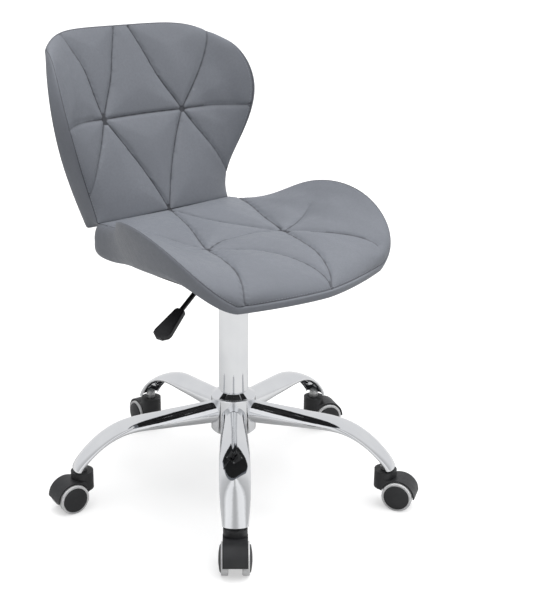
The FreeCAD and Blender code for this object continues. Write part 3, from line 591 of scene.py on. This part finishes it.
def finish_cover(item, cover, groove):
    """Sink the seams, keep them sharp, and round everything else with one subdivision."""
    mesh = item.data
    normals = np.array([v.normal for v in mesh.vertices])
    moved = np.array([v.co for v in mesh.vertices]) - normals * (cover.pull * groove)[:, None]
    mesh.vertices.foreach_set("co", moved.ravel())
    # seam_distance and seam_pull carry the painted shade line that the leather's colour draws along the
    # seams and the rim.
    for name, values in (("seam_distance", cover.distance), ("seam_pull", cover.seam_pull)):
        mesh.attributes.new(name, "FLOAT", "POINT").data.foreach_set("value", values.astype(np.float32))
    rim = set(cover.rows[0])
    sharp = {tuple(sorted(e)) for e in cover.seam_edges}
    crease = mesh.attributes.new("crease_edge", "FLOAT", "EDGE")
    for edge in mesh.edges:
        a, b = edge.vertices
        if a in rim and b in rim:
            crease.data[edge.index].value = RIM_CREASE
        elif tuple(sorted((a, b))) in sharp:
            crease.data[edge.index].value = SEAM_CREASE * min(cover.pull[a], cover.pull[b])
    item.modifiers.new("Round", "SUBSURF").levels = 1
    item.modifiers["Round"].render_levels = 1
    view = bpy.context.evaluated_depsgraph_get()
    rounded = bpy.data.meshes.new_from_object(item.evaluated_get(view))
    item.modifiers.clear()
    item.data = rounded
    rounded.polygons.foreach_set("use_smooth", [True] * len(rounded.polygons))
    rounded.materials.clear()
    rounded.materials.append(MATERIALS["grey_leather"])


def tree_of(item):
    mesh = item.data
    return BVHTree.FromPolygons([v.co for v in mesh.vertices], [tuple(p.vertices) for p in mesh.polygons])


STITCH, STITCH_GAP = 3.4 * MM, 1.5 * MM
THREAD_RADIUS = 0.34 * MM
THREAD_LIFTS = (-0.25 * MM, 0.12 * MM, 0.2 * MM, 0.12 * MM, -0.25 * MM)
THREAD_WIDTHS = (0.7, 1.0, 1.05, 1.0, 0.7)
THREAD_SIDES = 6


def stitch_row(name, surface, path, towards):
    """Short threads laid end to end along a path on a surface, each dipping in at both ends."""
    tree = tree_of(surface)
    marks = np.concatenate([[0], np.cumsum(np.linalg.norm(np.diff(path, axis=0), axis=1))])
    rings, sides = len(THREAD_LIFTS), THREAD_SIDES
    verts, faces = [], []
    count = int(marks[-1] / (STITCH + STITCH_GAP))
    for k in range(count):
        along_stitch = np.linspace(0, 1, rings) * STITCH / (STITCH + STITCH_GAP)
        spots = marks[-1] * (k + along_stitch) / count
        line = [Vector([np.interp(spot, marks, path[:, a]) for a in range(3)]) for spot in spots]
        middle = spots[rings // 2]
        aim = Vector([np.interp(middle, marks, towards[:, a]) for a in range(3)]).normalized()
        laid = []
        for p in line:
            hit, normal, _, _ = tree.ray_cast(p + aim * 0.02, -aim, 0.05)
            if hit is None:
                break
            laid.append((hit, normal))
        if len(laid) < rings:
            continue
        first = len(verts)
        for n, (hit, normal) in enumerate(laid):
            along = (laid[min(n + 1, rings - 1)][0] - laid[max(n - 1, 0)][0]).normalized()
            side = along.cross(normal).normalized()
            thick = THREAD_WIDTHS[n] * THREAD_RADIUS
            for q in range(sides):
                turn = math.tau * q / sides
                verts.append(hit + normal * (THREAD_LIFTS[n] + math.cos(turn) * thick)
                             + side * (math.sin(turn) * thick))
        for n in range(rings - 1):
            for q in range(sides):
                a, b = first + n * sides + q, first + n * sides + (q + 1) % sides
                faces.append((a, b, b + sides, a + sides))
        last = first + (rings - 1) * sides
        faces.append(tuple(first + q for q in reversed(range(sides))))
        faces.append(tuple(last + q for q in range(sides)))
    mesh = bpy.data.meshes.new(name)
    mesh.from_pydata([tuple(v) for v in verts], [], faces)
    mesh.polygons.foreach_set("use_smooth", [True] * len(mesh.polygons))
    mesh.materials.append(THREAD)
    item = bpy.data.objects.new(name, mesh)
    bpy.context.scene.collection.objects.link(item)
    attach(item, "seat")


def inset(u, v, share):
    """Patch coordinates drawn in towards the patch's middle."""
    return u * share, 0.5 + (v - 0.5) * share


def outer_rim(patch, share, towards):
    """Path just inside a patch's rim, along both sides and the far end, with the way out at each point."""
    count = 160
    sides = np.linspace(0.02, 1.0, count)
    across = np.linspace(1.0, -1.0, count)[1:-1]
    u = np.concatenate([np.ones(count), across, -np.ones(count)])
    v = np.concatenate([sides, np.ones(count - 2), sides[::-1]])
    u, v = inset(u, v, share)
    return patch.at(u, v), patch.normal(u, v, towards)


# Half width and length of each panel laid flat, and which way each panel faces
SEAT_SCALE, BACK_SCALE = (0.2, 0.4), (0.19, 0.33)
SEAT_FACES, BACK_FACES, REAR_FACES = (0, 0, 1), (0, -1, 0.3), (0, 1, -0.3)
GROOVE = 2.8 * MM


def make_seat():
    """Seat cover: quilted top, a full side band, and a rim turned in under the seat."""
    cover = Cover("seat_cover", SEAT_TOP, SEAT_SEAMS, SEAT_SCALE, 5.2 * MM, SEAT_FACES)
    u, v = cover.rim_uv()
    top, foot = SEAT_TOP.at(u, v), SEAT_UNDER.at(u, v)
    waist = np.clip(v / 0.04, 0, 1)
    rows = 9
    for j in range(1, rows + 1):
        share = j / rows
        straight = top * (1 - share) + foot * share
        out = straight * (1, 1, 0)
        out /= np.linalg.norm(out, axis=1)[:, None]
        fullness = math.sin(math.pi * share)
        bulge = 1.6 * MM * fullness + 11 * MM * fullness ** 0.7 * cover.corner_reach(0.05)
        row = cover.softened(straight + out * bulge[:, None], min(j, rows - j + 1) * 5)
        cover.add_row(row, 1.0 if j == rows else 0.0, 0.28 + 0.15 * waist if j < rows else 0.0)
    for share, level in ((0.988, -1.3), (0.965, -1.0), (0.93, -0.3), (0.91, 1.3)):
        row = SEAT_UNDER.at(*inset(u, v, share))
        row[:, 2] += level * MM
        cover.add_row(row, 1.0, 0.0)
    item = cover.build()
    inflate(item, cover, 18, 8.5 * MM, 12 * MM)
    finish_cover(item, cover, GROOVE)
    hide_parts("seat_cushion")
    return item


def make_back():
    """Back cover: quilted front, its side band, and a rim turned in behind."""
    cover = Cover("back_cover", BACK_FRONT, BACK_SEAMS, BACK_SCALE, 5.2 * MM, BACK_FACES)
    u, v = cover.rim_uv()
    top, foot = BACK_FRONT.at(u, v), BACK_BEHIND.at(u, v)
    centre = np.array([0.0, 0.0, 0.6])
    waist = np.clip(v / 0.06, 0, 1)
    rows = 6
    for j in range(1, rows + 1):
        share = j / rows
        straight = top * (1 - share) + foot * share
        out = straight - centre
        out[:, 1] = 0
        out /= np.linalg.norm(out, axis=1)[:, None]
        bulge = 1.2 * MM * math.sin(math.pi * share) * waist
        row = cover.softened(straight + out * bulge[:, None], min(j, rows - j) * 4)
        cover.add_row(row, 1.0 if j == rows else 0.0, 0.3 * waist if j < rows else 0.0)
    for share in (0.985, 0.95):
        row = BACK_BEHIND.at(*inset(u, v, share)) - np.array([0, 1.5, -0.6]) * MM
        cover.add_row(row, 1.0, 0.0)
    item = cover.build()
    inflate(item, cover, 18, 7.5 * MM, 11 * MM)
    finish_cover(item, cover, GROOVE)
    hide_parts("back_cushion")
    return item


def make_rear():
    """Plain padded cover of the back's rear face, its rim tucked into the seam."""
    cover = Cover("back_rear_cover", BACK_BEHIND, [], BACK_SCALE, 7.5 * MM, REAR_FACES)
    u, v = cover.rim_uv()
    for share, depth in ((0.985, 2.0), (0.95, 5.0)):
        row = BACK_BEHIND.at(*inset(u, v, share)) - np.array([0, depth, -0.4 * depth]) * MM
        cover.add_row(row, 1.0, 0.0)
    item = cover.build()
    inflate(item, cover, 14, 4.5 * MM, 6 * MM)
    finish_cover(item, cover, 0.0)
    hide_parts("back_rear_panel")
    return item


seat_cover = make_seat()
back_cover = make_back()
rear_cover = make_rear()
for cover_item, fill in ((seat_cover, 0.8), (back_cover, 0.8), (rear_cover, 0.7)):
    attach(cover_item, "seat")
stitch_row("seat_stitches", seat_cover, *outer_rim(SEAT_TOP, 0.984, SEAT_FACES))
stitch_row("back_stitches", back_cover, *outer_rim(BACK_FRONT, 0.983, BACK_FACES))


# ---------------------------------------------------------------------------
# Floor, light and camera
# ---------------------------------------------------------------------------

CAMERA_AT = Vector((-1.1515, -1.2655, 0.919))
HEADING = math.radians(-42.3)
PITCH = math.radians(18.0)
FLOOR_GLOW = 0.54        # what the camera sees added to the floor's own light
ROOM_LIGHT = 0.36        # strength of the room on the object
ROOM_SHINE = 1.0         # and in its reflections
BACKDROP = 2.56          # and as the camera sees it behind the object


def make_floor():
    """Pale floor disc that reads as white away from the shadow."""
    disc = bmesh.new()
    bmesh.ops.create_circle(disc, cap_ends=True, segments=96, radius=60.0)
    mesh = bpy.data.meshes.new("floor")
    disc.to_mesh(mesh)
    disc.free()
    s = Shader("pale_floor", Specular_IOR_Level=0.1)
    s.tone(s.noise(0.8), (0.53, 0.53, 0.53), (0.55, 0.55, 0.55))
    seen = s.tree.nodes.new("ShaderNodeLightPath").outputs["Is Camera Ray"]
    s.surface.inputs["Emission Color"].default_value = (1, 1, 1, 1)
    s.link(s.math("MULTIPLY", seen, FLOOR_GLOW), "Emission Strength")
    s.roughness(s.noise(3.0), 0.8, 0.9)
    mesh.materials.append(s.material)
    item = bpy.data.objects.new("floor", mesh)
    bpy.context.scene.collection.objects.link(item)


# Studio walls: each band's turn from the camera's side, as a share of half a circle, and its brightness
WALLS = [(0.0, 0.46), (0.04, 0.52), (0.10, 0.86), (0.24, 0.92), (0.34, 0.50), (0.50, 0.60),
         (0.62, 0.78), (1.0, 0.76)]


def make_world():
    """Pale studio whose walls are lighter and darker in broad upright bands."""
    world = bpy.data.worlds.new("studio")
    bpy.context.scene.world = world
    world.use_nodes = True
    tree = world.node_tree
    tree.nodes.clear()

    def node(kind, **settings):
        made = tree.nodes.new(kind)
        for key, value in settings.items():
            setattr(made, key, value)
        return made

    place = node("ShaderNodeTexCoord").outputs["Generated"]
    across = Vector((math.cos(HEADING), math.sin(HEADING), 0))
    towards = Vector((math.sin(HEADING), -math.cos(HEADING), 0))
    turn = node("ShaderNodeMath", operation="ARCTAN2")
    for socket, direction in zip(turn.inputs, (across, towards)):
        dot = node("ShaderNodeVectorMath", operation="DOT_PRODUCT")
        dot.inputs[1].default_value = direction
        tree.links.new(place, dot.inputs[0])
        tree.links.new(dot.outputs["Value"], socket)
    size = node("ShaderNodeMath", operation="ABSOLUTE")
    tree.links.new(turn.outputs["Value"], size.inputs[0])
    share = node("ShaderNodeMath", operation="DIVIDE")
    share.inputs[1].default_value = math.pi
    tree.links.new(size.outputs["Value"], share.inputs[0])
    ramp = node("ShaderNodeValToRGB")
    stops = ramp.color_ramp.elements
    stops[0].position, stops[1].position = WALLS[0][0], WALLS[-1][0]
    for position, _ in WALLS[1:-1]:
        stops.new(position)
    for stop, (_, level) in zip(stops, WALLS):
        stop.color = (level, level * 1.005, level * 1.02, 1)
    tree.links.new(share.outputs["Value"], ramp.inputs["Fac"])
    background = node("ShaderNodeBackground")
    rays, strength = node("ShaderNodeLightPath"), None
    for ray, level in (("Is Glossy Ray", ROOM_SHINE), ("Is Camera Ray", BACKDROP)):
        step = node("ShaderNodeMath", operation="MULTIPLY_ADD")
        tree.links.new(rays.outputs[ray], step.inputs[0])
        step.inputs[1].default_value = level - ROOM_LIGHT
        if strength is None:
            step.inputs[2].default_value = ROOM_LIGHT
        else:
            tree.links.new(strength, step.inputs[2])
        strength = step.outputs["Value"]
    tree.links.new(strength, background.inputs["Strength"])
    tree.links.new(ramp.outputs["Color"], background.inputs["Color"])
    output = node("ShaderNodeOutputWorld")
    tree.links.new(background.outputs["Background"], output.inputs["Surface"])


def soft_sun(name, come_from, spread, strength):
    """Very broad light from a direction, unseen in the chrome."""
    data = bpy.data.lights.new(name, "SUN")
    data.energy = strength
    data.angle = math.radians(spread)
    item = bpy.data.objects.new(name, data)
    item.rotation_mode = "QUATERNION"
    item.rotation_quaternion = Vector(come_from).to_track_quat("Z", "Y")
    item.visible_glossy = False
    bpy.context.scene.collection.objects.link(item)


def make_camera():
    """Camera at the three-quarter view from the sitter's right."""
    data = bpy.data.cameras.new("camera")
    data.lens = 65.8
    data.sensor_width = 36.0
    data.shift_x = 0.0625
    data.shift_y = -0.030
    data.clip_start = 0.05
    data.clip_end = 200.0
    item = bpy.data.objects.new("camera", data)
    item.location = CAMERA_AT
    item.rotation_euler = (math.pi / 2 - PITCH, 0, HEADING)
    bpy.context.scene.collection.objects.link(item)
    bpy.context.scene.camera = item


make_floor()
make_world()
soft_sun("overhead", (0.12, -0.18, 1.0), 80, 4.2)
make_camera()
bpy.context.scene.view_settings.view_transform = "Standard"
